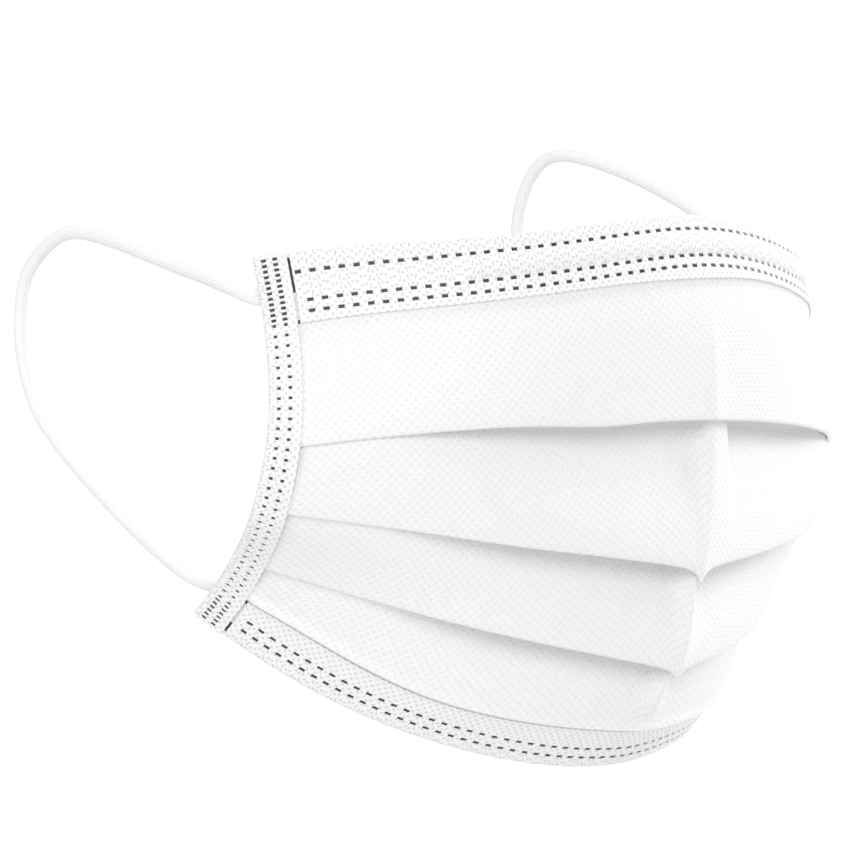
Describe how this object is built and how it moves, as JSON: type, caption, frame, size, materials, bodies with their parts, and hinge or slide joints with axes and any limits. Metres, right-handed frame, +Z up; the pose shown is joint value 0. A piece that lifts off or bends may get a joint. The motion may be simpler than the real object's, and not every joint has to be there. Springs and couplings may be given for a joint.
{
  "type": "surgical face mask",
  "caption": "Pleated soft face mask held open in its worn shape, with folded edge bindings, a bendable nose wire and elastic ear loops.",
  "frame": {"origin": "the nose seat: the middle of the nose band on its inner face, 6 mm below the top edge", "axes": "+X to the wearer's left, +Y from the front of the mask towards the face, +Z up"},
  "size_m": [0.153, 0.1124, 0.1192],
  "materials": {
    "nonwoven_cloth": "white nonwoven cloth with a fine embossed dot grid",
    "binding_cloth": "white nonwoven strip with rows of small welded dashes and dots",
    "wire_plastic": "pale plastic-coated flat wire",
    "elastic_cord": "white knitted elastic cord"
  },
  "bodies": {
    "root": {"mask_panel": "nonwoven_cloth", "top_binding": "binding_cloth", "bottom_binding": "binding_cloth", "side_binding_right": "binding_cloth", "side_binding_left": "binding_cloth", "nose_wire": "wire_plastic", "ear_loop_right": "elastic_cord", "ear_loop_left": "elastic_cord"}
  },
  "joints": []
}
